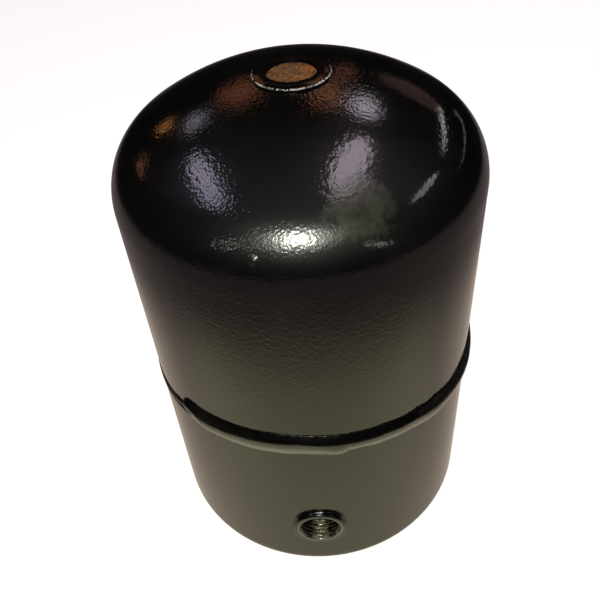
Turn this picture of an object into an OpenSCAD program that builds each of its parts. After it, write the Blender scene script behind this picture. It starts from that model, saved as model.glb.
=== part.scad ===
/* [Tank body] */
// Outer diameter of both cups
tank_d = 102; // [90:1:130]
// Height of the shell, from the floor to the top of the crown
tank_h = 155; // [140:1:200]
// Sheet thickness of both cups
wall = 2.5; // [1.5:0.1:3.5]

/* [Upper end] */
// Outside radius of the knuckle, where the side turns into the crown
knuckle_r = 19; // [14:0.5:26]
// Outside radius of the crown
crown_r = 77; // [66:1:110]

/* [Base] */
// Outside radius of the bottom corner
base_corner_r = 5; // [4:0.5:9]
// Width of the flat ring that the tank stands on
foot_w = 9; // [5:0.5:14]
// Height by which the middle of the base is dished inwards
base_dish = 4; // [1.5:0.5:7]

/* [Girth seam] */
// Height of the middle of the seam
seam_z = 68; // [60:1:80]
// Length over which the lower rim is pressed inwards to a neck
joggle_l = 3; // [2:0.5:5]
// Length of the neck inside the upper cup
neck_l = 9; // [6:0.5:14]
// Radial clearance between the neck and the upper cup
neck_gap = 0.15; // [0.05:0.05:0.3]

/* [Girth weld] */
// Width of the front weld run on the side of the tank
front_bead_w = 8.2; // [6:0.1:10]
// Height of the front weld run over the side of the tank
front_bead_h = 2.2; // [0.8:0.1:2.8]
// How far the middle of the front weld run lies above the middle of the seam
front_bead_rise = 1.8; // [-2:0.1:2]
// Width of the right weld run
right_bead_w = 7.4; // [6:0.1:10]
// Height of the right weld run
right_bead_h = 1.9; // [0.8:0.1:2.8]
// How far the middle of the right weld run lies above the middle of the seam
right_bead_rise = -0.2; // [-2:0.1:2]
// Width of the back weld run
back_bead_w = 7; // [6:0.1:10]
// Height of the back weld run
back_bead_h = 1.7; // [0.8:0.1:2.8]
// How far the middle of the back weld run lies above the middle of the seam
back_bead_rise = -0.4; // [-2:0.1:2]
// Width of the left weld run
left_bead_w = 6; // [5.5:0.1:10]
// Height of the left weld run
left_bead_h = 1.2; // [0.8:0.1:2.8]
// How far the middle of the left weld run lies above the middle of the seam
left_bead_rise = -1; // [-1.2:0.1:2]
// Angle from the front, towards the right, where the front weld run stops
front_stop_angle = 11; // [0:1:40]
// Angle where the right weld run stops
right_stop_angle = 104; // [80:1:130]
// Angle where the back weld run stops
back_stop_angle = 209; // [180:1:230]
// Angle where the left weld run stops
left_stop_angle = 314; // [290:1:330]

/* [Threaded bungs] */
// Outer diameter of a bung
bung_d = 17.2; // [16:0.1:20]
// Length of a bung
bung_l = 11; // [9:0.5:16]
// Rounding of the edge round a bung's face
bung_edge_r = 0.5; // [0.3:0.1:0.8]
// Bore of a bung, which is the minor diameter of its pipe thread
bore_d = 11.5; // [9:0.1:12]
// Diameter of the side bung's mouth, over its chamfer
mouth_d = 15; // [13:0.1:15.4]
// Radial clearance between a bung and the hole that it is set in
bung_gap = 0.1; // [0.05:0.05:0.2]
// Height of the side bung's axis
side_bung_z = 24.5; // [22:0.5:40]
// How far the side bung's face stands out from the side of the tank
side_bung_proud = 1.3; // [1:0.1:3]
// How far the top bung's face stands above the top of the crown
top_bung_proud = 0.6; // [0.5:0.1:3]
// Leg of the fillet weld round the side bung, along the shell
side_weld_leg = 0.4; // [0.3:0.1:2]
// Radius of the weld bead round the top bung
top_weld_r = 1.4; // [0.8:0.1:2]

/* [Top plug] */
// Diameter of the counterbore that the plug's head sits in
plug_seat_d = 13.4; // [12.4:0.1:14]
// Depth of the plug's face below the top bung's face
plug_recess = 1.2; // [0.4:0.1:2]
// Thickness of the plug's head
plug_head_h = 1.8; // [1:0.1:3]
// Length of the plug's shank in the bore
plug_shank_l = 6; // [3:0.5:8]
// Radial clearance of the plug's head and shank
plug_gap = 0.15; // [0.05:0.05:0.3]
// Chamfer round the plug's face
plug_chamfer = 0.4; // [0.2:0.1:0.8]

/* [Hidden] */
$fn = 360;

paint = [0.07, 0.065, 0.065];
plug_brown = [0.45, 0.33, 0.21];

// Overshoot of a cut past the face that it opens
cut = 1;
full_turn = 360;

tank_r = tank_d / 2;
bung_r = bung_d / 2;
bore_r = bore_d / 2;
mouth_r = mouth_d / 2;
plug_seat_r = plug_seat_d / 2;

// Torispherical end: the knuckle and the crown meet where both have the same normal
knuckle_x = tank_r - knuckle_r;
crown_drop = sqrt(pow(crown_r - knuckle_r, 2) - pow(knuckle_x, 2));
crown_z = tank_h - crown_r;
shoulder_z = crown_z + crown_drop;
blend_angle = atan2(crown_drop, knuckle_x);

// Dished base: a spherical cap inside the foot ring
foot_in_r = tank_r - base_corner_r - foot_w;
dish_r = (pow(foot_in_r, 2) + pow(base_dish, 2)) / (2 * base_dish);

// Joggled lap: the lower rim turns in under the upper rim
upper_rim_z = seam_z + joggle_l / 2;
joggle_z = seam_z - joggle_l / 2;
neck_r = tank_r - wall - neck_gap;
neck_top_z = upper_rim_z + neck_l;
joggle_angle = atan2(tank_r - neck_r, joggle_l);
joggle_shift = wall * tan(joggle_angle / 2);

top_bung_z = tank_h + top_bung_proud;
counterbore_l = plug_recess + plug_head_h;
side_face_y = -(tank_r + side_bung_proud);

function polar(r, a) = [r * cos(a), r * sin(a)];

// Height of the crown's outside at a distance from the axis
function crown_height(r) = crown_z + sqrt(pow(crown_r, 2) - pow(r, 2));

// Wedge of a circle between two angles, at most a quarter turn apart
module sector(r, from, to) {
    reach = 2 * r;
    mid = (from + to) / 2;
    intersection() {
        circle(r = r);
        polygon([[0, 0], polar(reach, from), polar(reach, mid), polar(reach, to)]);
    }
}

// Half outline of the upper cup, filled, and drawn in from its outside by inset
module upper_outline(inset, low_z) {
    side_x = tank_r - inset;
    blend = [knuckle_x, shoulder_z] + polar(knuckle_r - inset, blend_angle);
    polygon([[0, low_z], [side_x, low_z], [side_x, shoulder_z], blend, [0, blend.y]]);
    translate([knuckle_x, shoulder_z])
        sector(knuckle_r - inset, 0, blend_angle);
    translate([0, crown_z])
        sector(crown_r - inset, blend_angle, 90);
}

// Half outline of the lower cup, filled, and drawn in from its outside by inset
module lower_outline(inset, top_z) {
    drop = inset == 0 ? 0 : joggle_shift;
    corner_r = base_corner_r - inset;
    corner_x = tank_r - base_corner_r;
    difference() {
        union() {
            translate([0, inset])
                square([corner_x, corner_r]);
            translate([corner_x, base_corner_r])
                sector(corner_r, -90, 0);
            polygon([
                [0, base_corner_r],
                [tank_r - inset, base_corner_r],
                [tank_r - inset, joggle_z - drop],
                [neck_r - inset, upper_rim_z - drop],
                [neck_r - inset, top_z],
                [0, top_z]
            ]);
        }
        translate([0, base_dish - dish_r])
            circle(r = dish_r + inset);
    }
}

// Places a child that points along Z at the side bung's face, pointing out
module at_side_bung() {
    translate([0, side_face_y, side_bung_z])
        rotate([90, 0, 0])
            children();
}

module at_top_bung() {
    translate([0, 0, top_bung_z])
        children();
}

// Hole for a bung whose face is at Z = 0
module bung_hole() {
    translate([0, 0, -bung_l])
        cylinder(r = bung_r + bung_gap, h = bung_l + cut);
}

module upper_shell() {
    color(paint)
        difference() {
            rotate_extrude()
                difference() {
                    upper_outline(0, upper_rim_z);
                    upper_outline(wall, upper_rim_z - cut);
                }
            at_top_bung()
                bung_hole();
        }
}

module lower_shell() {
    color(paint)
        difference() {
            rotate_extrude()
                difference() {
                    lower_outline(0, neck_top_z);
                    lower_outline(wall, neck_top_z + cut);
                }
            at_side_bung()
                bung_hole();
        }
}

// Section of the girth weld: an arc over the seam, with its toes on both cups, and the root
// that fills the groove of the lap
module girth_weld_section(bead_w, bead_h, bead_rise) {
    bead_z = seam_z + bead_rise;
    arc_r = (pow(bead_w / 2, 2) + pow(bead_h, 2)) / (2 * bead_h);
    intersection() {
        translate([tank_r + bead_h - arc_r, bead_z])
            circle(r = arc_r);
        translate([tank_r, bead_z - bead_w])
            square([2 * bead_h, 2 * bead_w]);
    }
    polygon([
        [tank_r, joggle_z],
        [tank_r, upper_rim_z],
        [neck_r, upper_rim_z]
    ]);
}

// One run of the girth weld, from one stop to the next
module girth_weld_run(from, to, bead_w, bead_h, bead_rise) {
    color(paint)
        rotate([0, 0, from - 90])
            rotate_extrude(angle = to - from)
                girth_weld_section(bead_w, bead_h, bead_rise);
}

module girth_weld_front() {
    from = left_stop_angle - full_turn;
    girth_weld_run(from, front_stop_angle, front_bead_w, front_bead_h, front_bead_rise);
}

module girth_weld_right() {
    girth_weld_run(front_stop_angle, right_stop_angle, right_bead_w, right_bead_h, right_bead_rise);
}

module girth_weld_back() {
    girth_weld_run(right_stop_angle, back_stop_angle, back_bead_w, back_bead_h, back_bead_rise);
}

module girth_weld_left() {
    girth_weld_run(back_stop_angle, left_stop_angle, left_bead_w, left_bead_h, left_bead_rise);
}

// Bung with its face at Z = 0, reaching down, with a mouth that is chamfered or counterbored
module bung(mouth_l, mouth_bottom_r, mouth_top_r) {
    rotate_extrude()
        difference() {
            union() {
                translate([0, -bung_l])
                    square([bung_r, bung_l - bung_edge_r]);
                translate([0, -bung_edge_r])
                    square([bung_r - bung_edge_r, bung_edge_r]);
                translate([bung_r - bung_edge_r, -bung_edge_r])
                    sector(bung_edge_r, 0, 90);
            }
            translate([0, -bung_l - cut])
                square([bore_r, bung_l + 2 * cut]);
            polygon([
                [0, -mouth_l],
                [mouth_bottom_r, -mouth_l],
                [mouth_top_r, 0],
                [mouth_top_r, cut],
                [0, cut]
            ]);
        }
}

module side_bung() {
    color(paint)
        at_side_bung()
            bung(mouth_r - bore_r, bore_r, mouth_r);
}

module top_bung() {
    color(paint)
        at_top_bung()
            bung(counterbore_l, plug_seat_r, plug_seat_r);
}

// Saddle fillet: a cone that leaves the bung below its rounded edge, and is trimmed by the side of
// the tank. Its toe is at the foot of the bung, and the cone goes on below that by the wall
module side_bung_weld() {
    spread = side_weld_leg / (side_bung_proud - bung_edge_r);
    root_depth = side_bung_proud + wall;
    color(paint)
        difference() {
            at_side_bung()
                rotate_extrude()
                    polygon([
                        [bung_r, -bung_edge_r],
                        [bung_r, -root_depth],
                        [bung_r + spread * (root_depth - bung_edge_r), -root_depth]
                    ]);
            cylinder(r = tank_r, h = tank_h);
        }
}

// Round bead between the bung and the crown, with a steep toe
module top_bung_weld() {
    toe = [bung_r + top_weld_r, crown_height(bung_r + top_weld_r)];
    reach_z = toe.y + 2 * top_weld_r;
    color(paint)
        rotate_extrude()
            intersection() {
                translate([bung_r, toe.y])
                    circle(r = top_weld_r);
                polygon([[bung_r, crown_height(bung_r)], toe, [toe.x, reach_z], [bung_r, reach_z]]);
            }
}

// Plug with its head in the counterbore and its shank in the bore
module top_plug() {
    head_r = plug_seat_r - plug_gap;
    shank_r = bore_r - plug_gap;
    color(plug_brown)
        translate([0, 0, top_bung_z - counterbore_l])
            rotate_extrude()
                polygon([
                    [0, -plug_shank_l],
                    [shank_r, -plug_shank_l],
                    [shank_r, 0],
                    [head_r, 0],
                    [head_r, plug_head_h - plug_chamfer],
                    [head_r - plug_chamfer, plug_head_h],
                    [0, plug_head_h]
                ]);
}

upper_shell();
lower_shell();
girth_weld_front();
girth_weld_right();
girth_weld_back();
girth_weld_left();
side_bung();
side_bung_weld();
top_bung();
top_bung_weld();
top_plug();
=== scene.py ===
import math

import bmesh
import bpy
from mathutils import Matrix, Vector, noise


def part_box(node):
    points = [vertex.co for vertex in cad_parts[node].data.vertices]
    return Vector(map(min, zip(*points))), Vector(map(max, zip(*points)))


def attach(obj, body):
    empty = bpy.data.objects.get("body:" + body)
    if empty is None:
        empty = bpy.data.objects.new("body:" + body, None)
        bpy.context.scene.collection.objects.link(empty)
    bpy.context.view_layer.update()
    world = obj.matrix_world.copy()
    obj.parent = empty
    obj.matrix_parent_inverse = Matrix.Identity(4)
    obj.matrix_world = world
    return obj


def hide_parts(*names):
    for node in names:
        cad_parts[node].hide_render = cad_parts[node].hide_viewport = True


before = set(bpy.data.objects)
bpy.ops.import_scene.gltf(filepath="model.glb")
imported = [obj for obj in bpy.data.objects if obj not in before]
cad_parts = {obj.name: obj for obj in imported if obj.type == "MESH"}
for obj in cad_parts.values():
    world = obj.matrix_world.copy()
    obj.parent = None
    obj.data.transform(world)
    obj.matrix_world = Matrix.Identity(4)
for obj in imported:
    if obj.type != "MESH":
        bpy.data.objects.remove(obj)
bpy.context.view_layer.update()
mm = 0.001  # shapes are drawn in millimetres and scaled once, when a piece is finished
closeBy = 0.01  # slack for picking out the vertices of a face, in millimetres
print("frame loaded:", len(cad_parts), "nodes")


# Shapes

def arc(centreX, centreZ, radius, fromAngle, toAngle, steps):
    turns = [math.radians(fromAngle + (toAngle - fromAngle) * i / steps) for i in range(steps + 1)]
    return [(centreX + radius * math.cos(t), centreZ + radius * math.sin(t)) for t in turns]


def line(start, end, steps):
    shares = [i / steps for i in range(steps + 1)]
    return [tuple(a + (b - a) * share for a, b in zip(start, end)) for share in shares]


def bend(start, control, end, steps):  # leaves and arrives along the lines to its control point
    points = []
    for i in range(steps + 1):
        t = i / steps
        corners = zip(start, control, end)
        points.append(tuple(a * (1 - t) ** 2 + 2 * b * t * (1 - t) + c * t * t for a, b, c in corners))
    return points


def spinOutline(outline, steps, closed=True, startAngle=0.0, sweep=360.0, mergeGap=0.0005):
    shape = bmesh.new()
    points = [shape.verts.new((x, 0, z)) for x, z in outline]
    pairs = list(zip(points, points[1:]))
    if closed:
        pairs.append((points[-1], points[0]))
    edges = [shape.edges.new(pair) for pair in pairs]
    turnVerts(shape, startAngle, "Z")
    bmesh.ops.spin(shape, geom=points + edges, axis=(0, 0, 1), cent=(0, 0, 0),
                   angle=math.radians(sweep), steps=steps, use_merge=sweep == 360)
    bmesh.ops.remove_doubles(shape, verts=shape.verts, dist=mergeGap)
    return shape


def turnVerts(shape, angle, axis):
    turn = Matrix.Rotation(math.radians(angle), 3, axis)
    bmesh.ops.rotate(shape, verts=shape.verts, cent=(0, 0, 0), matrix=turn)


def closeEnds(shape):
    rims = [edge for edge in shape.edges if edge.is_boundary]
    bmesh.ops.holes_fill(shape, edges=rims, sides=0)


def smoothStep(value):
    share = min(max(value, 0.0), 1.0)
    return share * share * (3 - 2 * share)


def alongRun(points, place):  # eases from one (place, value) pair to the next
    if place <= points[0][0]:
        return points[0][1]
    for (low, lowValue), (high, highValue) in zip(points, points[1:]):
        if place <= high:
            return lowValue + (highValue - lowValue) * smoothStep((place - low) / (high - low))
    return points[-1][1]


def finishPiece(shape, name, node, material, sharpAngle):
    bmesh.ops.recalc_face_normals(shape, faces=shape.faces)
    bmesh.ops.scale(shape, vec=(mm, mm, mm), verts=shape.verts)
    for face in shape.faces:
        face.smooth = True
    for edge in shape.edges:
        if edge.is_manifold and edge.calc_face_angle() > math.radians(sharpAngle):
            edge.smooth = False
    mesh = bpy.data.meshes.new(name)
    shape.to_mesh(mesh)
    shape.free()
    piece = bpy.data.objects.new(name, mesh)
    bpy.context.scene.collection.objects.link(piece)
    mesh.materials.append(material)
    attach(piece, "root")
    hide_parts(node)
    print("piece", name, len(mesh.polygons), "faces")


# Shader nodes

class Wire:
    def __init__(self, tree, socket=None):
        self.tree = tree
        self.socket = socket

    def node(self, kind, settings=None, inputs=None, output=0):
        made = self.tree.nodes.new(kind)
        for key, value in (settings or {}).items():
            setattr(made, key, value)
        for key, value in (inputs or {}).items():
            if isinstance(value, Wire):
                self.tree.links.new(value.socket, made.inputs[key])
            else:
                made.inputs[key].default_value = value
        return Wire(self.tree, made.outputs[output]) if len(made.outputs) else None

    def math(self, operation, left, right=0.0):
        return self.node("ShaderNodeMath", {"operation": operation}, {0: left, 1: right})

    def __add__(self, other):
        return self.math("ADD", self, other)

    def __radd__(self, other):
        return self.math("ADD", other, self)

    def __sub__(self, other):
        return self.math("SUBTRACT", self, other)

    def __rsub__(self, other):
        return self.math("SUBTRACT", other, self)

    def __mul__(self, other):
        return self.math("MULTIPLY", self, other)

    def __rmul__(self, other):
        return self.math("MULTIPLY", other, self)

    def scaled(self, factors):
        return self.node("ShaderNodeVectorMath", {"operation": "MULTIPLY"}, {0: self, 1: factors})

    def moved(self, shift):
        return self.node("ShaderNodeVectorMath", {"operation": "ADD"}, {0: self, 1: shift})

    def length(self):
        return self.node("ShaderNodeVectorMath", {"operation": "LENGTH"}, {0: self}, output="Value")

    def part(self, axis):
        return self.node("ShaderNodeSeparateXYZ", None, {0: self}, output=axis)

    def noise(self, scale, detail=2.0, roughness=0.5):
        return self.node("ShaderNodeTexNoise", None,
                         {"Vector": self, "Scale": scale, "Detail": detail, "Roughness": roughness})

    def fit(self, low, high, toLow=0.0, toHigh=1.0):
        ends = {"From Min": low, "From Max": high, "To Min": toLow, "To Max": toHigh}
        return self.node("ShaderNodeMapRange", {"interpolation_type": "SMOOTHSTEP"}, {"Value": self, **ends})

    def mixColours(self, first, second):  # this wire is the share of the second colour
        return self.node("ShaderNodeMix", {"data_type": "RGBA"}, {0: self, 6: first, 7: second}, output=2)

    def bump(self):  # this wire is the height in metres
        return self.node("ShaderNodeBump", None, {"Height": self, "Distance": 1.0, "Strength": 1.0})


def newMaterial(name):
    material = bpy.data.materials.new(name)
    material.use_nodes = True
    material.node_tree.nodes.clear()
    wire = Wire(material.node_tree)
    place = wire.node("ShaderNodeTexCoord", output="Object")
    return material, wire, place


def finishMaterial(wire, sockets):
    shader = wire.node("ShaderNodeBsdfPrincipled", None, sockets)
    wire.node("ShaderNodeOutputMaterial", None, {"Surface": shader})


def rgb(red, green, blue):
    return (red, green, blue, 1.0)


def grey(level):
    return rgb(level, level, level)


def spot(place, centre):  # distance from a mark on the surface
    return place.moved(tuple(-part for part in centre)).length()


# Gloss black paint. A fade goes from 0 to 1 between two values, or between the two shares after them

shellPaint = dict(
    black=rgb(0.0012, 0.001, 0.0012), dusty=rgb(0.003, 0.0026, 0.0024), warmSideSheen=rgb(0.011, 0.006, 0.0075),
    dustScale=38, dustFade=(0.45, 0.75), gloss=0.1, dull=0.16, haze=0.36, hazeRoughness=0.44,
    finePeel=1500, finePeelDepth=0.05 * mm, widePeel=820, widePeelDepth=0.042 * mm,
    peelAcross=(22 * mm, -6 * mm, 0.12, 1.0), peelByPort=(30 * mm, 16 * mm, 0.0, 1.7),
    peelLeft=(-12 * mm, -28 * mm, 1.0, 0.7), peelFront=(-34 * mm, -43 * mm, 1.0, 1.7),
    peelUp=(118 * mm, 134 * mm, 0.35, 1.0), sideFade=(132 * mm, 118 * mm),
    smoothRight=(18 * mm, 32 * mm), smoothPeel=0.35, smoothGloss=0.45,
    streakScale=900, streakStretch=0.012, streakDepth=0.012 * mm,
    filmUp=(126 * mm, 137 * mm), filmFront=(-10 * mm, -36 * mm),
    warmSheenScale=110, warmSheenStretch=0.03, warmSheenFade=(0.5, 0.68), warmSheenOut=(18 * mm, 36 * mm),
    smear=rgb(0.0185, 0.019, 0.0112), smearPlace=(13.8 * mm, -39.6 * mm, 141.6 * mm),
    smearFade=(9.4 * mm, 6 * mm), smearRagged=16 * mm, smearScale=260, smearPatch=(0.2, 0.62), smearDull=0.1,
    dripPlace=(-9.6 * mm, -48.2 * mm, 134.9 * mm), dripSize=1.7 * mm, dripDepth=0.34 * mm)


def makeShellPaint(values):
    material, wire, place = newMaterial("shellPaint")
    right, back, up = [place.part(axis) for axis in "XYZ"]
    fromAxis = place.scaled((1.0, 1.0, 0.0)).length()
    onSide = up.fit(*values["sideFade"])
    smooth = right.fit(*values["smoothRight"])
    # orange peel, faint streaks down the side and one drip
    peel = wire.math("MAXIMUM", right.fit(*values["peelAcross"]), fromAxis.fit(*values["peelByPort"]))
    peel = peel * right.fit(*values["peelLeft"]) * back.fit(*values["peelFront"]) * up.fit(*values["peelUp"])
    height = place.noise(values["finePeel"], 1.0) * peel * values["finePeelDepth"]
    wide = place.noise(values["widePeel"], 1.0) * (1 - smooth * values["smoothPeel"])
    height = height + wide * values["widePeelDepth"]
    streaks = place.scaled((1.0, 1.0, values["streakStretch"])).noise(values["streakScale"], 2.0)
    height = height + streaks * onSide * values["streakDepth"]
    drip = spot(place, values["dripPlace"]).fit(values["dripSize"], 0.0)
    height = height + drip * values["dripDepth"]
    # dust, streaks down the sides tinted with a painted warm reflection, and a smear on the dome
    dust = place.noise(values["dustScale"], 4.0, 0.6).fit(*values["dustFade"])
    # the warm tint in the side streaks is a painted reflection of warm surroundings
    warmSheenStreaks = place.scaled((1.0, 1.0, values["warmSheenStretch"])).noise(values["warmSheenScale"], 3.0, 0.6)
    warmSheenStreaks = warmSheenStreaks.fit(*values["warmSheenFade"]) * onSide * wire.math("ABSOLUTE", right).fit(*values["warmSheenOut"])
    blotch = place.noise(values["smearScale"], 4.0, 0.7)
    smear = spot(place, values["smearPlace"]) + (blotch - 0.5) * values["smearRagged"]
    smear = smear.fit(*values["smearFade"])
    colour = dust.mixColours(values["black"], values["dusty"])
    colour = warmSheenStreaks.mixColours(colour, values["warmSideSheen"])
    roughness = dust * (values["dull"] - values["gloss"]) + values["gloss"]
    film = up.fit(*values["filmUp"]) * back.fit(*values["filmFront"])  # a dull film on the front of the dome
    finishMaterial(wire, {
        "Base Color": (smear * blotch.fit(*values["smearPatch"])).mixColours(colour, values["smear"]),
        "Roughness": roughness * (1 - smooth * values["smoothGloss"]) + smear * values["smearDull"],
        "IOR": 1.5,
        "Coat Weight": film * values["haze"], "Coat Roughness": values["hazeRoughness"],
        "Normal": height.bump()})
    return material


weldPaint = dict(
    black=rgb(0.0022, 0.002, 0.002), dusty=rgb(0.005, 0.0046, 0.004), dustScale=120, dustFade=(0.45, 0.75),
    peelScale=1100, peelDepth=0.008 * mm, gloss=0.12, dull=0.2, haze=0.05, hazeRoughness=0.34,
    lipSheen=rgb(0.1, 0.096, 0.078), lipSheenFade=(0.25, 0.6, 0.5, 1.0),
    soot=rgb(0.0008, 0.0007, 0.0007), sootGrey=rgb(0.0022, 0.002, 0.0018), sootFade=(0.2, 0.45, 0.8, 1.0),
    sootRoughness=0.5, sootShine=0.06, sootDepth=0.024 * mm)


def makeWeldPaint(values):  # soot, and the pale lower lip that is a painted reflection of the floor, are painted on the vertices
    material, wire, place = newMaterial("weldPaint")
    cells = place.noise(values["peelScale"], 2.0)
    dust = place.noise(values["dustScale"], 4.0, 0.6).fit(*values["dustFade"])
    colour = dust.mixColours(values["black"], values["dusty"])
    soot = wire.node("ShaderNodeAttribute", {"attribute_name": "soot"}, output="Fac")
    lipSheen = wire.node("ShaderNodeAttribute", {"attribute_name": "lipSheen"}, output="Fac")
    gloss = wire.node("ShaderNodeBsdfPrincipled", None, {
        "Base Color": (lipSheen * cells.fit(*values["lipSheenFade"])).mixColours(colour, values["lipSheen"]),
        "Roughness": dust * (values["dull"] - values["gloss"]) + values["gloss"], "IOR": 1.5,
        "Coat Weight": values["haze"], "Coat Roughness": values["hazeRoughness"],
        "Normal": (cells * values["peelDepth"]).bump()})
    dull = wire.node("ShaderNodeBsdfPrincipled", None, {
        "Base Color": dust.mixColours(values["soot"], values["sootGrey"]),
        "Roughness": values["sootRoughness"], "Specular IOR Level": values["sootShine"],
        "Normal": (cells * values["sootDepth"]).bump()})
    sooty = soot * cells.fit(*values["sootFade"])
    both = wire.node("ShaderNodeMixShader", None, {0: sooty, 1: gloss, 2: dull})
    wire.node("ShaderNodeOutputMaterial", None, {"Surface": both})
    return material


topWeldPaint = dict(
    black=rgb(0.002, 0.0018, 0.0018), wearAndHighlight=rgb(0.33, 0.315, 0.29), gloss=0.1, dull=0.4, shine=0.2,
    wearAndHighlightOut=(9.8 * mm, 9.95 * mm), wearAndHighlightUp=(154.85 * mm, 155.0 * mm), wearAndHighlightFront=(3 * mm, -3 * mm),
    raggedScale=1500, raggedWidth=1.2 * mm, raggedFade=(0.4, 0.54),
    patchScale=230, patchFade=(0.3, 0.5, 0.25, 1.0), peelScale=1300, peelDepth=0.01 * mm)


def makeTopWeldPaint(values):  # the outer edge has a pale, broken line at the front: worn paint and a painted highlight
    material, wire, place = newMaterial("topWeldPaint")
    ragged = place.noise(values["raggedScale"], 3.0, 0.6)
    radius = place.scaled((1.0, 1.0, 0.0)).length() + (ragged - 0.5) * values["raggedWidth"]
    onEdge = radius.fit(*values["wearAndHighlightOut"]) * place.part("Z").fit(*values["wearAndHighlightUp"])
    patches = place.noise(values["patchScale"], 1.0).fit(*values["patchFade"])
    # the pale line is worn paint and a painted highlight along the front of the edge
    wearAndHighlight = onEdge * place.part("Y").fit(*values["wearAndHighlightFront"]) * patches * ragged.fit(*values["raggedFade"])
    cells = place.noise(values["peelScale"], 2.0)
    finishMaterial(wire, {
        "Base Color": wearAndHighlight.mixColours(values["black"], values["wearAndHighlight"]),
        "Roughness": wearAndHighlight * (values["dull"] - values["gloss"]) + values["gloss"],
        "IOR": 1.5, "Specular IOR Level": values["shine"],
        "Normal": (cells * values["peelDepth"]).bump()})
    return material


# Bare steel in the side port, and paint on the bung round it

sideBungFinish = dict(
    paint=rgb(0.003, 0.0028, 0.0028), wearAndHighlight=rgb(0.12, 0.115, 0.1), steel=rgb(0.52, 0.49, 0.32),
    oil=rgb(0.012, 0.011, 0.007), paintRoughness=0.09, steelRoughness=0.34, metal=0.95,
    bareIn=(6.8 * mm, 6.2 * mm), bareRagged=1 * mm, wearAndHighlightIn=(7.5 * mm, 7.1 * mm), wearAndHighlightRagged=0.5 * mm,
    highlightStripIn=(3.4 * mm, 1.0 * mm), highlightStripScale=900, highlightStripFade=(0.34, 0.5),
    grainScale=900, grainDepth=0.006 * mm)


def makeSideBungFinish(values, axisHeight):
    material, wire, place = newMaterial("sideBungFinish")
    radius = place.moved((0.0, 0.0, -axisHeight)).scaled((1.0, 0.0, 1.0)).length()
    grain = place.noise(values["grainScale"], 3.0)
    bare = (radius + (grain - 0.5) * values["bareRagged"]).fit(*values["bareIn"])
    wearAndHighlight = (radius + (grain - 0.5) * values["wearAndHighlightRagged"]).fit(*values["wearAndHighlightIn"])  # the mouth's rounded edge is painted pale as a painted reflection of the floor
    highlightStrip = wire.math("ABSOLUTE", place.part("X")).fit(*values["highlightStripIn"])  # a strip of bright steel down the middle: a painted highlight on the thread
    highlightStrip = highlightStrip * place.noise(values["highlightStripScale"], 3.0).fit(*values["highlightStripFade"])
    metal = highlightStrip.mixColours(values["oil"], values["steel"])
    finishMaterial(wire, {
        "Base Color": bare.mixColours(wearAndHighlight.mixColours(values["paint"], values["wearAndHighlight"]), metal),
        "Metallic": bare * values["metal"],
        "Roughness": bare * (values["steelRoughness"] - values["paintRoughness"]) + values["paintRoughness"],
        "IOR": 1.5,
        "Normal": (grain * values["grainDepth"]).bump()})
    return material


# Brown plug face

plugFinish = dict(
    tan=rgb(0.14, 0.054, 0.009), brown=rgb(0.032, 0.013, 0.004), rust=rgb(0.2, 0.055, 0.006),
    pale=rgb(0.22, 0.104, 0.026), dark=rgb(0.012, 0.007, 0.004), roughness=0.6, pitDepth=0.06 * mm,
    blotchScale=520, blotchFade=(0.35, 0.65), rustScale=260, orangeToRight=45, rustFade=(0.58, 0.8),
    speckScale=2000, paleFade=(0.53, 0.6), darkFade=(0.46, 0.36))


def makePlugFinish(values):
    material, wire, place = newMaterial("plugFinish")
    blotch = place.noise(values["blotchScale"], 4.0, 0.65).fit(*values["blotchFade"])
    specks = place.noise(values["speckScale"], 3.0, 0.6)
    orangePatches = place.noise(values["rustScale"], 2.0) + place.part("X") * values["orangeToRight"]  # more orange towards the right
    colour = blotch.mixColours(values["brown"], values["tan"])
    colour = orangePatches.fit(*values["rustFade"]).mixColours(colour, values["rust"])
    colour = specks.fit(*values["paleFade"]).mixColours(colour, values["pale"])
    colour = specks.fit(*values["darkFade"]).mixColours(colour, values["dark"])
    finishMaterial(wire, {
        "Base Color": colour, "Roughness": values["roughness"],
        "Normal": (specks * values["pitDepth"]).bump()})
    return material


paintOnShell = makeShellPaint(shellPaint)
paintOnWeld = makeWeldPaint(weldPaint)
paintOnTopWeld = makeTopWeldPaint(topWeldPaint)
paintOnPlug = makePlugFinish(plugFinish)
print("materials made")


# Tank body

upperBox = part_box("upper_shell")
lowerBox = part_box("lower_shell")
tankBody = dict(
    radius=upperBox[1].x / mm, upperRim=upperBox[0].z / mm, neckTop=lowerBox[1].z / mm,
    top=155.0,  # where the crown would peak without its hole
    wall=2.5, knuckle=19.0, crown=77.0, baseCorner=5.0, footWidth=9.0, dish=4.0, joggle=3.0, neckGap=0.15,
    topHole=8.7, turns=288)


def shapeUpperShell(body):
    kneeX = body["radius"] - body["knuckle"]
    drop = math.sqrt((body["crown"] - body["knuckle"]) ** 2 - kneeX ** 2)
    crownZ = body["top"] - body["crown"]
    shoulderZ = crownZ + drop
    blend = math.degrees(math.atan2(drop, kneeX))
    innerCrown = body["crown"] - body["wall"]
    holeAngle = math.degrees(math.acos(body["topHole"] / body["crown"]))
    innerHoleAngle = math.degrees(math.acos(body["topHole"] / innerCrown))
    innerX = body["radius"] - body["wall"]
    outline = line((body["radius"], body["upperRim"]), (body["radius"], shoulderZ), 30)
    outline += arc(kneeX, shoulderZ, body["knuckle"], 0, blend, 32)[1:]
    outline += arc(0, crownZ, body["crown"], blend, holeAngle, 36)[1:]
    outline += arc(0, crownZ, innerCrown, innerHoleAngle, blend, 16)
    outline += arc(kneeX, shoulderZ, body["knuckle"] - body["wall"], blend, 0, 10)[1:]
    outline += [(innerX, body["upperRim"])]
    return spinOutline(outline, body["turns"])


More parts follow.
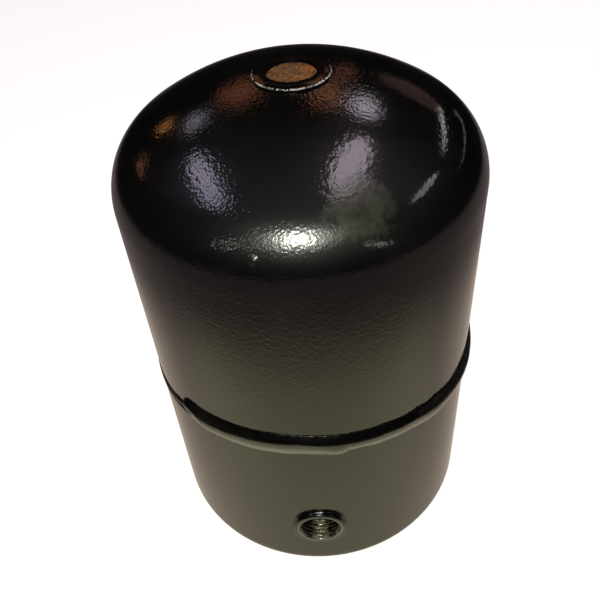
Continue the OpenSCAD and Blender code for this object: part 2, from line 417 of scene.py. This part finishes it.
def shapeLowerShell(body):
    radius, wall, corner = body["radius"], body["wall"], body["baseCorner"]
    cornerX = radius - corner
    footIn = cornerX - body["footWidth"]
    dishRadius = (footIn ** 2 + body["dish"] ** 2) / (2 * body["dish"])
    dishZ = body["dish"] - dishRadius
    dishEdge = math.degrees(math.acos(footIn / dishRadius))
    innerDish = dishRadius + wall
    innerEdge = math.degrees(math.asin((wall - dishZ) / innerDish))
    neck = radius - wall - body["neckGap"]
    joggleZ = body["upperRim"] - body["joggle"]
    shift = wall * math.tan(math.atan2(radius - neck, body["joggle"]) / 2)
    outline = arc(0, dishZ, dishRadius, 90, dishEdge, 14)
    outline += [(cornerX, 0)]
    outline += arc(cornerX, corner, corner, -90, 0, 14)[1:]
    outline += line((radius, corner), (radius, joggleZ), 36)[1:]
    outline += [(neck, body["upperRim"]), (neck, body["neckTop"]), (neck - wall, body["neckTop"])]
    outline += [(neck - wall, body["upperRim"] - shift), (radius - wall, joggleZ - shift)]
    outline += arc(cornerX, corner, corner - wall, 0, -90, 8)
    outline += arc(0, dishZ, innerDish, innerEdge, 90, 10)
    return spinOutline(outline, body["turns"], closed=False)


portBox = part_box("side_bung")
sidePort = dict(
    height=(portBox[0].z + portBox[1].z) / 2 / mm, faceY=portBox[0].y / mm, backY=portBox[1].y / mm,
    radius=portBox[1].x / mm, edge=0.6, mouth=6.55, round=0.8, backMouth=0.8, minor=5.75, major=6.62,
    pitch=1.337, rowStep=0.1, turns=144, gap=0.1, cutLength=30, cutTurns=96)


def cutSideHole(shape, port, body):  # the wall is opened where the bung goes through it
    holeRadius = port["radius"] + port["gap"]
    cutter = bmesh.new()
    bmesh.ops.create_cone(cutter, cap_ends=True, segments=port["cutTurns"], radius1=holeRadius,
                          radius2=holeRadius, depth=port["cutLength"])
    turnVerts(cutter, 90, "X")
    bmesh.ops.translate(cutter, vec=(0, -body["radius"], port["height"]), verts=cutter.verts)
    pieces = []
    for made, name in ((shape, "uncutShell"), (cutter, "holeCutter")):
        bmesh.ops.recalc_face_normals(made, faces=made.faces)
        mesh = bpy.data.meshes.new(name)
        made.to_mesh(mesh)
        made.free()
        pieces.append(bpy.data.objects.new(name, mesh))
        bpy.context.scene.collection.objects.link(pieces[-1])
    hole = pieces[0].modifiers.new("hole", "BOOLEAN")
    hole.object = pieces[1]
    hole.operation = "DIFFERENCE"
    hole.solver = "EXACT"
    opened = pieces[0].evaluated_get(bpy.context.evaluated_depsgraph_get())
    cut = bmesh.new()
    cut.from_mesh(opened.to_mesh())
    opened.to_mesh_clear()
    for piece in pieces:
        bpy.data.objects.remove(piece)
    return cut


domedShell = shapeUpperShell(tankBody)
openShell = cutSideHole(shapeLowerShell(tankBody), sidePort, tankBody)
finishPiece(domedShell, "upperShell", "upper_shell", paintOnShell, sharpAngle=32)
finishPiece(openShell, "lowerShell", "lower_shell", paintOnShell, sharpAngle=32)


# Girth weld: angles run from the front towards the right, and toes and crest are heights on the tank's side

weldSection = dict(foot=(0.5, -0.82), underBend=(0.42, -0.885), faceBend=(1.03, -0.4),
                   shoulderBend=(0.9, 0.28), steps=10, root=0.7, degreesPerStep=0.28,
                   endLength=2.6, endShare=0.12)

topSoot = [(0.0, 0.0), (0.25, 0.9)]  # soot on the upper slope, by place across the bead
lipSheenAcross = [(-0.95, 0.0), (-0.75, 1.0), (-0.5, 0.8), (-0.2, 0.0)]  # pale colour on the lower lip: a painted reflection of the floor
weldRuns = [  # a mark is its angle, place across, length, width and lift
    dict(name="girthWeldLeft", node="girth_weld_left", start=208.0, stop=315.0, seed=11.0,
         topToe=[(208, 71.2), (260, 69.0), (286, 67.6), (300, 68.2), (308, 69.3), (315, 71.6)],
         crest=[(208, 68.0), (260, 66.6), (286, 66.0), (300, 66.2), (315, 68.4)],
         lowToe=[(208, 64.6), (260, 64.0), (300, 64.0), (315, 64.8)],
         height=[(208, 1.6), (262, 0.7), (284, 0.35), (300, 0.6), (315, 1.0)], groove=0.55, marks=[],
         soot=[(-0.4, 0.9), (-0.15, 0.0), (0.1, 0.0), (0.3, 1.0)], lipSheen=[(0, 0)]),
    dict(name="girthWeldBack", node="girth_weld_back", start=103.0, stop=210.0, seed=23.0,
         topToe=[(103, 70.6), (150, 71.0), (210, 71.4)],
         crest=[(103, 67.4), (150, 67.8), (210, 68.0)],
         lowToe=[(103, 64.2), (150, 64.4), (210, 64.4)],
         height=[(103, 1.6), (160, 1.6), (210, 1.7)], groove=0.0, marks=[], soot=topSoot, lipSheen=lipSheenAcross),
    dict(name="girthWeldRight", node="girth_weld_right", start=9.0, stop=105.0, seed=37.0,
         topToe=[(9, 73.2), (22, 72.7), (33, 71.5), (41, 70.9), (47, 70.7), (56, 69.4), (80, 67.4),
                 (105, 69.6)],
         crest=[(9, 70.2), (21, 69.6), (32, 69.1), (45, 66.9), (60, 65.8), (80, 65.0), (105, 66.6)],
         lowToe=[(9, 65.3), (15, 65.1), (21, 64.3), (32, 63.6), (45, 61.4), (60, 61.5), (78, 62.2),
                 (105, 63.8)],
         height=[(9, 1.7), (30, 1.65), (60, 1.6), (80, 1.35), (105, 1.6)], groove=0.0,
         marks=[(37.2, 0.9, 2.2, 0.9, 0.4), (44.8, 0.9, 2.4, 0.9, 0.4), (12.2, 0.3, 0.3, 2.2, -0.35)],
         soot=topSoot, lipSheen=lipSheenAcross),
    dict(name="girthWeldFront", node="girth_weld_front", start=-47.5, stop=12.5, seed=53.0,
         topToe=[(-47.5, 73.6), (-40, 74.2), (-13, 74.3), (-4, 74.1), (4, 73.4), (12.5, 73.0)],
         crest=[(-47.5, 71.6), (-44, 71.0), (-38, 69.4), (-30, 70.2), (-23, 70.8), (-13, 71.4), (-4, 71.7),
                (4, 70.8), (12.5, 70.1)],
         lowToe=[(-47.5, 65.4), (-38, 64.6), (-30, 64.9), (-13, 65.0), (-4, 65.2), (3, 64.5), (8, 64.0),
                 (12.5, 64.6)],
         height=[(-47.5, 1.5), (-40, 1.6), (-6, 1.7), (8, 1.8), (12.5, 1.7)], groove=0.0,
         marks=[(-44.2, -0.35, 0.9, 0.9, -0.9), (7.0, -0.6, 2.8, 1.6, 0.4), (-2.5, 0.7, 1.2, 0.35, 0.08),
                (1.6, 0.7, 1.0, 0.3, 0.09), (5.6, 0.7, 1.4, 0.35, 0.12)],
         soot=topSoot, lipSheen=lipSheenAcross),
]

weldLumps = dict(longLift=0.13, longScale=0.11, longAcross=0.7,
                 fineLift=0.03, fineScale=0.55, fineAcross=2.2, wander=0.18, swayScale=0.187,
                 rippleLift=0.012, rippleDegrees=1.9, rippleBow=0.5, rippleDrift=3, driftScale=0.2,
                 grooveWidth=0.28, footShare=1.6, pitLift=-0.5,
                 roughFrom=0.8, roughLift=0.3, roughScale=2.4, roughAcross=7, roughPush=0.7, roughSpread=0.6)


def unitWeldSection(section, radius):  # one high and two wide: sloped top, rounded face, undercut foot
    steps = section["steps"]
    profile = bend((0.0, -1.0), section["underBend"], section["foot"], steps)
    profile += bend(section["foot"], section["faceBend"], (1.0, 0.0), steps)[1:]
    profile += bend((1.0, 0.0), section["shoulderBend"], (0.0, 1.0), steps)[1:]
    outline = [(radius + lift, across) for lift, across in profile]
    return outline + [(radius - section["root"], 1.0), (radius - section["root"], -1.0)]


def addSeamRoot(shape, run, body):  # weld metal that fills the groove of the lap, flush with the side
    neck = body["radius"] - body["wall"] - body["neckGap"]
    rim = body["upperRim"]
    outline = [(body["radius"], rim - body["joggle"]), (body["radius"], rim), (neck, rim)]
    sweep = run["stop"] - run["start"]
    root = spinOutline(outline, round(sweep), startAngle=run["start"] - 90, sweep=sweep)
    closeEnds(root)
    mesh = bpy.data.meshes.new("seamRoot")
    root.to_mesh(mesh)
    root.free()
    shape.from_mesh(mesh)
    bpy.data.meshes.remove(mesh)


def beadLump(lumps, angle, across, seed):  # long swells, fine lumps and the ripples of the weld pool
    lump = lumps["longLift"] * noise.noise((angle * lumps["longScale"], across * lumps["longAcross"], seed))
    lump += lumps["fineLift"] * noise.noise((angle * lumps["fineScale"], across * lumps["fineAcross"], seed))
    phase = angle / lumps["rippleDegrees"] + lumps["rippleBow"] * across ** 2
    phase += lumps["rippleDrift"] * noise.noise((angle * lumps["driftScale"], 1.3, seed))
    return lump + lumps["rippleLift"] * math.sin(2 * math.pi * phase)


def shapeWeldRun(run, section, lumps, radius):
    sweep = run["stop"] - run["start"]
    steps = round(sweep / section["degreesPerStep"])
    shape = spinOutline(unitWeldSection(section, radius), steps, startAngle=run["start"] - 90, sweep=sweep)
    arcPerDegree = math.radians(1) * radius
    seed = run["seed"]
    soot = shape.verts.layers.float.new("soot")
    lipSheen = shape.verts.layers.float.new("lipSheen")
    for vert in shape.verts:
        angle = math.degrees(math.atan2(vert.co.x, -vert.co.y))
        if angle < run["start"] - 1:
            angle += 360
        across = vert.co.z
        lift = math.hypot(vert.co.x, vert.co.y) - radius
        vert[soot] = alongRun(run["soot"], across)
        # the pale lower lip is a painted reflection of the floor
        vert[lipSheen] = alongRun(run["lipSheen"], across)
        fromEnd = min(angle - run["start"], run["stop"] - angle) / section["endLength"]
        ending = math.sqrt(max(0.0, 1 - (1 - min(fromEnd, 1.0)) ** 2))
        ending = section["endShare"] + (1 - section["endShare"]) * ending
        sway = lumps["wander"] * noise.noise((angle * lumps["swayScale"], 3.1, seed))
        fray = lumps["wander"] * noise.noise((angle * lumps["fineScale"], 7.7, seed))
        topToe = alongRun(run["topToe"], angle) + sway + fray
        lowToe = alongRun(run["lowToe"], angle) + sway
        crest = alongRun(run["crest"], angle) + sway
        height = crest + across * ending * (topToe - crest if across > 0 else crest - lowToe)
        rise = alongRun(run["height"], angle)
        rise *= 1 - run["groove"] * math.exp(-(across / lumps["grooveWidth"]) ** 2)
        lump = beadLump(lumps, angle, across, seed)
        for markAngle, markAcross, length, width, markLift in run["marks"]:
            along = (angle - markAngle) * arcPerDegree / length
            sideways = (across - markAcross) * (topToe - lowToe) / 2 / width
            near = math.exp(-along ** 2 - sideways ** 2)
            lump += markLift * near
            if markLift < lumps["pitLift"]:  # the pit is black inside
                vert[soot] = max(vert[soot], near)
            if markAcross > lumps["roughFrom"]:  # rough, granular spots on the upper toe
                grain = noise.noise((angle * lumps["roughScale"], across * lumps["roughAcross"], seed))
                lump += lumps["roughLift"] * near * grain
                height += near * (lumps["roughPush"] + lumps["roughSpread"] * grain)
        if lift > 0:
            lift = ending * (lift * rise + lump * min(1.0, lift * lumps["footShare"]))
        reach = radius + lift
        turn = math.radians(angle)
        vert.co = Vector((reach * math.sin(turn), -reach * math.cos(turn), height))
    closeEnds(shape)
    return shape


for run in weldRuns:
    weld = shapeWeldRun(run, weldSection, weldLumps, tankBody["radius"])
    addSeamRoot(weld, run, tankBody)
    finishPiece(weld, run["name"], run["node"], paintOnWeld, sharpAngle=60)


# Side bung with its pipe thread, and the weld round it

def shapeSideBung(port):
    length = port["backY"] - port["faceY"]
    radius, edge = port["radius"], port["edge"]
    rows = round(length / port["rowStep"])
    outline = line((port["minor"] + port["backMouth"], -length), (radius, -length), 2)
    outline += line((radius, -length), (radius, -edge), 8)[1:]
    outline += arc(radius - edge, -edge, edge, 0, 90, 8)[1:]
    outline += line((radius - edge, 0), (port["mouth"] + port["round"], 0), 3)[1:]
    outline += [(port["minor"], -row * port["rowStep"]) for row in range(1, rows + 1)]
    shape = spinOutline(outline, port["turns"])
    for vert in shape.verts:
        reach = math.hypot(vert.co.x, vert.co.y)
        if reach < port["minor"] + closeBy:
            turn = math.atan2(vert.co.y, vert.co.x) / (2 * math.pi)
            phase = (vert.co.z / port["pitch"] - turn) % 1.0
            flank = 0.5 + 0.5 * math.cos(2 * math.pi * phase)
            thread = port["minor"] + (port["major"] - port["minor"]) * flank
            below = vert.co.z + port["round"]
            rounding = port["round"] - math.sqrt(port["round"] ** 2 - max(below, 0.0) ** 2)
            wanted = max(thread, port["mouth"] + rounding + min(below, 0.0))
            vert.co.x *= wanted / reach
            vert.co.y *= wanted / reach
    return placeAtSidePort(shape, port)


def placeAtSidePort(shape, port):
    turnVerts(shape, 90, "X")  # the bung's face looks out along -Y
    bmesh.ops.translate(shape, vec=(0, port["faceY"], port["height"]), verts=shape.verts)
    return shape


sideWeld = dict(leg=0.3, legLump=0.3, topShare=0.4, topLump=0.25, root=1.2, rootWidth=0.7, rootDepth=0.5,
                points=12, turns=240, lumpLift=0.05, lumpScale=3.3, beadLift=0.03, beadUp=0.6)


def shapeSideWeld(values, port, body):  # drawn flat round the bung, then set down on the round side
    steps = values["points"]
    inner = port["radius"]
    outline = [(inner + i / steps, 1 - i / steps) for i in range(steps + 1)]
    outline += [(inner + values["rootWidth"], -values["rootDepth"]), (inner, -values["rootDepth"])]
    shape = spinOutline(outline, values["turns"])
    proud = -port["faceY"] - body["radius"]
    for vert in shape.verts:
        turn = math.atan2(vert.co.y, vert.co.x)
        share = math.hypot(vert.co.x, vert.co.y) - inner
        rise = vert.co.z
        around = Vector((math.cos(turn), math.sin(turn), 0.0)) * values["lumpScale"]
        lump = noise.noise(around + Vector((0, 0, 5.0)))
        bulge = math.sin(math.pi * min(max(share, 0.0), 1.0)) * values["beadLift"]
        reach = inner + share * values["leg"] * (1 + values["legLump"] * lump)
        reach += (bulge + values["lumpLift"] * lump * share) * (rise >= 0)
        sideX = reach * math.cos(turn)
        depth = proud + body["radius"] - math.sqrt(body["radius"] ** 2 - sideX ** 2)
        top = -depth * (1 - values["topShare"] * (1 + values["topLump"] * lump))
        if rise >= 0:
            vert.co.z = -depth + (top + depth) * rise + bulge * values["beadUp"]
        else:
            vert.co.z = -depth + rise * values["root"]
        vert.co.x = sideX
        vert.co.y = reach * math.sin(turn)
    return placeAtSidePort(shape, port)


sideBungPaint = makeSideBungFinish(sideBungFinish, sidePort["height"] * mm)
sideBungWeld = shapeSideWeld(sideWeld, sidePort, tankBody)
finishPiece(shapeSideBung(sidePort), "sideBung", "side_bung", sideBungPaint, sharpAngle=30)
finishPiece(sideBungWeld, "sideBungWeld", "side_bung_weld", paintOnWeld, sharpAngle=60)


# Top bung, the bead round it and the plug in it

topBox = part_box("top_bung")
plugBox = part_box("top_plug")
topPort = dict(
    face=topBox[1].z / mm, back=topBox[0].z / mm, radius=topBox[1].x / mm, edge=0.4, seat=6.7, seatEdge=0.15,
    seatDepth=3.0, bore=5.75, turns=144, soot=0.85, unevenDepth=0.6, unevenLift=0.07, unevenScale=0.5)


def shapeTopBung(port):
    face, radius, edge, chamfer = port["face"], port["radius"], port["edge"], port["seatEdge"]
    outline = [(port["bore"], port["back"]), (radius, port["back"])]
    outline += line((radius, port["back"]), (radius, face - edge), 6)[1:]
    outline += arc(radius - edge, face - edge, edge, 0, 90, 6)[1:]
    outline += line((radius - edge, face), (port["seat"] + chamfer, face), 4)[1:]
    outline += [(port["seat"], face - chamfer), (port["seat"], face - port["seatDepth"])]
    outline += [(port["bore"], face - port["seatDepth"])]
    shape = spinOutline(outline, port["turns"])
    soot = shape.verts.layers.float.new("soot")
    for vert in shape.verts:  # a dull face that is not quite even under its paint
        vert[soot] = port["soot"]
        if vert.co.z > face - port["unevenDepth"]:
            around = Vector((vert.co.x, vert.co.y, 0.0)) * port["unevenScale"]
            vert.co.z += port["unevenLift"] * noise.noise(around + Vector((0, 0, 9.0)))
    return shape


topWeld = dict(width=1.5, edge=0.36, step=0.9, turns=480, root=0.7, lap=0.3, lapDrop=0.12, footZone=0.1,
               lumpLift=0.06, lumpScale=0.5, raggedLift=0.1, raggedScale=1.3, upShare=0.25)


def crownHeight(body, reach):
    return body["top"] - body["crown"] + math.sqrt(body["crown"] ** 2 - reach ** 2)


def shapeTopWeld(values, port, body):
    toe = port["radius"] + values["width"]
    inner = port["radius"] - values["lap"]
    base = crownHeight(body, toe)
    top = base + values["step"]
    edge = values["edge"]
    outline = line((toe, base - values["root"]), (toe, top - edge), 5)
    outline += arc(toe - edge, top - edge, edge, 0, 90, 8)[1:]
    outline += line((toe - edge, top), (inner, port["face"] - values["lapDrop"]), 6)[1:]
    outline += [(inner, base - values["root"])]
    shape = spinOutline(outline, values["turns"])
    for vert in shape.verts:
        reach = math.hypot(vert.co.x, vert.co.y)
        out = smoothStep((reach - port["radius"]) / (values["width"] - edge))
        around = Vector((vert.co.x, vert.co.y, 0.0))
        lump = noise.noise(around * values["lumpScale"] + Vector((0, 0, 4.2)))
        ragged = noise.noise(around * values["raggedScale"] + Vector((0, 0, 8.4)))
        push = values["lumpLift"] * lump + values["raggedLift"] * ragged
        vert.co.x *= 1 + push * out / reach
        vert.co.y *= 1 + push * out / reach
        if vert.co.z > base - values["footZone"]:
            vert.co.z += values["upShare"] * push * out
    return shape


plug = dict(
    face=plugBox[1].z / mm, bottom=plugBox[0].z / mm, radius=plugBox[1].x / mm, shank=5.6, headDepth=1.8,
    chamfer=0.25, rowStep=0.16, turns=128, ringX=1.15, ringY=-0.1, ringRadius=1.9, ringWidth=0.28,
    ringDepth=0.16, pip=0.45, pipLift=0.14, pitLift=0.07, pitScale=1.1)


def shapePlug(values):  # the face has a small turned ring with a pip in it, off centre
    face, radius = values["face"], values["radius"]
    flat = radius - values["chamfer"]
    rows = round(flat / values["rowStep"])
    outline = [(0, values["bottom"]), (values["shank"], values["bottom"])]
    outline += [(values["shank"], face - values["headDepth"]), (radius, face - values["headDepth"])]
    outline += [(radius, face - values["chamfer"])]
    outline += line((flat, face), (0, face), rows)
    shape = spinOutline(outline, values["turns"], closed=False)
    for vert in shape.verts:
        if vert.co.z > face - closeBy:
            off = math.hypot(vert.co.x - values["ringX"], vert.co.y - values["ringY"])
            groove = math.exp(-((off - values["ringRadius"]) / values["ringWidth"]) ** 2)
            pip = math.exp(-(off / values["pip"]) ** 2)
            around = Vector((vert.co.x, vert.co.y, 0.0)) * values["pitScale"]
            pits = noise.noise(around + Vector((0, 0, 2.0)))
            vert.co.z += values["pipLift"] * pip - values["ringDepth"] * groove + values["pitLift"] * pits
    return shape


topBungWeld = shapeTopWeld(topWeld, topPort, tankBody)
finishPiece(shapeTopBung(topPort), "topBung", "top_bung", paintOnWeld, sharpAngle=40)
finishPiece(topBungWeld, "topBungWeld", "top_bung_weld", paintOnTopWeld, sharpAngle=70)
finishPiece(shapePlug(plug), "topPlug", "top_plug", paintOnPlug, sharpAngle=40)


# Stage, in metres: pale floor, dim room in the gloss, soft lamps

room = dict(floorSize=2.0, floorColour=grey(0.8), floorLift=grey(0.6), black=grey(0.0), white=grey(1.0),
            frontGlow=rgb(0.94, 0.88, 0.56), sideGlow=rgb(0.58, 0.475, 0.385), frontFade=(-0.012, -0.088),
            farGlow=rgb(0.21, 0.17, 0.16), farFade=(0.112, 0.182),
            dark=rgb(0.01, 0.009, 0.009), darkFade=(0.36, 0.7), softSky=grey(0.25), dimSky=grey(0.006))


def makeFloor(values):  # white to the camera, and what the gloss paint mirrors is a dimmer, coloured floor
    shape = bmesh.new()
    bmesh.ops.create_grid(shape, x_segments=1, y_segments=1, size=values["floorSize"])
    mesh = bpy.data.meshes.new("floor")
    shape.to_mesh(mesh)
    shape.free()
    floor = bpy.data.objects.new("floor", mesh)
    bpy.context.scene.collection.objects.link(floor)
    material, wire, place = newMaterial("paleFloor")
    mirrored = wire.node("ShaderNodeLightPath", output="Is Glossy Ray")
    seen = wire.node("ShaderNodeLightPath", output="Is Camera Ray")
    distance = place.scaled((1.0, 1.0, 0.0)).length()
    glow = place.part("Y").fit(*values["frontFade"]).mixColours(values["sideGlow"], values["frontGlow"])
    glow = distance.fit(*values["farFade"]).mixColours(glow, values["farGlow"])
    glow = distance.fit(*values["darkFade"]).mixColours(glow, values["dark"])
    diffuse = wire.node("ShaderNodeBsdfDiffuse", None, {"Color": values["floorColour"]})
    lift = seen.mixColours(values["black"], values["floorLift"])
    lifted = wire.node("ShaderNodeEmission", None, {"Color": lift})
    plain = wire.node("ShaderNodeAddShader", None, {0: diffuse, 1: lifted})
    glowing = wire.node("ShaderNodeEmission", None, {"Color": glow})
    both = wire.node("ShaderNodeMixShader", None, {0: mirrored, 1: plain, 2: glowing})
    wire.node("ShaderNodeOutputMaterial", None, {"Surface": both})
    mesh.materials.append(material)


def makeSky(values):
    world = bpy.data.worlds.new("studio")
    bpy.context.scene.world = world
    world.use_nodes = True
    world.node_tree.nodes.clear()
    wire = Wire(world.node_tree)
    seen = wire.node("ShaderNodeLightPath", output="Is Camera Ray")
    through = wire.node("ShaderNodeLightPath", output="Is Transmission Ray")
    mirrored = wire.node("ShaderNodeLightPath", output="Is Glossy Ray")
    colour = mirrored.mixColours(values["softSky"], values["dimSky"])
    colour = wire.math("MAXIMUM", seen, through).mixColours(colour, values["white"])
    sky = wire.node("ShaderNodeBackground", None, {"Color": colour})
    wire.node("ShaderNodeOutputWorld", None, {"Surface": sky})


lampStage = dict(aim=Vector((0, 0, 0.12)), distance=0.8)
lamps = [  # azimuth from the front towards the right, elevation and roll in degrees
    dict(name="keyLamp", azimuth=-1, elevation=39, distance=0.24, size=(0.046, 0.056), roll=0,
         radiance=40, colour=(1.0, 1.0, 0.9)),
    dict(name="keyHalo", azimuth=-1, elevation=39, distance=0.25, size=(0.078, 0.08), roll=0,
         radiance=8, colour=(1.0, 1.0, 0.88)),
    dict(name="keyRim", azimuth=-1, elevation=39, distance=0.26, size=(0.125, 0.11), roll=0,
         radiance=3.2, colour=(1.0, 1.0, 0.86)),
    dict(name="keyEdge", azimuth=-1, elevation=39, distance=0.27, size=(0.19, 0.15), roll=0,
         radiance=1.8, colour=(1.0, 1.0, 0.86)),
    dict(name="rightBox", azimuth=112, elevation=70, size=(0.155, 0.43), roll=-130,
         radiance=5.2, colour=(1.0, 0.84, 0.98)),
    dict(name="rightBoxFar", azimuth=151, elevation=44.6, size=(0.12, 0.17), roll=-138,
         radiance=4.6, colour=(1.0, 0.88, 1.0)),
    dict(name="leftBox", azimuth=-103.5, elevation=54, size=(0.095, 0.42), roll=118,
         radiance=5.0, colour=(0.84, 0.76, 1.0)),
    dict(name="leftBoxFar", azimuth=-141, elevation=34.4, size=(0.09, 0.12), roll=118,
         radiance=1.8, colour=(0.9, 0.82, 1.0)),
    dict(name="rightStrip", azimuth=132.6, elevation=23.9, size=(0.014, 0.42), roll=-127,
         radiance=3.0, colour=(1.0, 0.96, 1.0)),
    dict(name="rightStripLow", azimuth=128, elevation=12.7, size=(0.02, 0.5), roll=-105,
         radiance=0.55, colour=(1.0, 0.96, 1.0)),
    dict(name="rightStripHigh", azimuth=93, elevation=37, size=(0.08, 0.34), roll=-95,
         radiance=2.3, colour=(1.0, 0.96, 1.0)),
    dict(name="warmLeftLow", azimuth=-139.5, elevation=21.4, size=(0.06, 0.07), roll=108,
         radiance=2.3, colour=(1.0, 0.4, 0.13)),
    dict(name="warmLeftFront", azimuth=-122.5, elevation=20.8, size=(0.03, 0.15), roll=88,
         radiance=1.7, colour=(1.0, 0.42, 0.2)),
    dict(name="warmLeft", azimuth=-160, elevation=34.5, size=(0.18, 0.2), roll=142,
         radiance=0.95, colour=(1.0, 0.34, 0.17)),
    dict(name="warmRight", azimuth=169, elevation=44, size=(0.12, 0.23), roll=-166,
         radiance=1.5, colour=(1.0, 0.38, 0.2)),
    dict(name="warmRightTop", azimuth=168, elevation=26, size=(0.055, 0.17), roll=0,
         radiance=0.8, colour=(1.0, 0.38, 0.25)),
    dict(name="brownRight", azimuth=151, elevation=18, size=(0.26, 0.16), roll=0,
         radiance=0.17, colour=(1.0, 0.58, 0.5)),
    dict(name="leftStreak", azimuth=-40.7, elevation=27.4, size=(0.24, 0.035), roll=36,
         radiance=6.8, colour=(0.94, 1.0, 0.9)),
    dict(name="rightStreak", azimuth=41.8, elevation=14, size=(0.24, 0.03), roll=-47,
         radiance=4.6, colour=(0.94, 1.0, 0.9)),
]


def addLamp(values, stage):
    light = bpy.data.lights.new(values["name"], "AREA")
    light.shape = "ELLIPSE"
    light.size, light.size_y = values["size"]
    light.color = values["colour"]
    light.energy = math.pi ** 2 / 4 * values["radiance"] * values["size"][0] * values["size"][1]
    lamp = bpy.data.objects.new(values["name"], light)
    bpy.context.scene.collection.objects.link(lamp)
    turn, tilt = math.radians(values["azimuth"]), math.radians(values["elevation"])
    towards = Vector((math.cos(tilt) * math.sin(turn), -math.cos(tilt) * math.cos(turn), math.sin(tilt)))
    lamp.location = stage["aim"] + towards * values.get("distance", stage["distance"])
    facing = towards.to_track_quat("Z", "Y").to_matrix()
    lamp.rotation_euler = (facing @ Matrix.Rotation(math.radians(values["roll"]), 3, "Z")).to_euler()
    lamp.visible_camera = False


makeFloor(room)
makeSky(room)
for lampValues in lamps:
    addLamp(lampValues, lampStage)
print("stage set")


# Camera, where the photograph was taken from, in millimetres and degrees

view = dict(place=(6.9, -164.97, 232.96), heading=3.42, tilt=43.34, roll=-5.17, focalShare=700.6 / 600,
            sensor=36, nearest=10)


def setCamera(values):
    lens = bpy.data.cameras.new("camera")
    lens.sensor_width = values["sensor"]
    lens.lens = values["sensor"] * values["focalShare"]
    lens.clip_start = values["nearest"] * mm
    camera = bpy.data.objects.new("camera", lens)
    bpy.context.scene.collection.objects.link(camera)
    turn = Matrix.Rotation(math.radians(values["heading"]), 4, "Z")
    turn = turn @ Matrix.Rotation(math.radians(90 - values["tilt"]), 4, "X")
    turn = turn @ Matrix.Rotation(math.radians(values["roll"]), 4, "Z")
    camera.matrix_world = Matrix.Translation(Vector(values["place"]) * mm) @ turn
    bpy.context.scene.camera = camera


setCamera(view)
bpy.context.scene.view_settings.view_transform = "Standard"
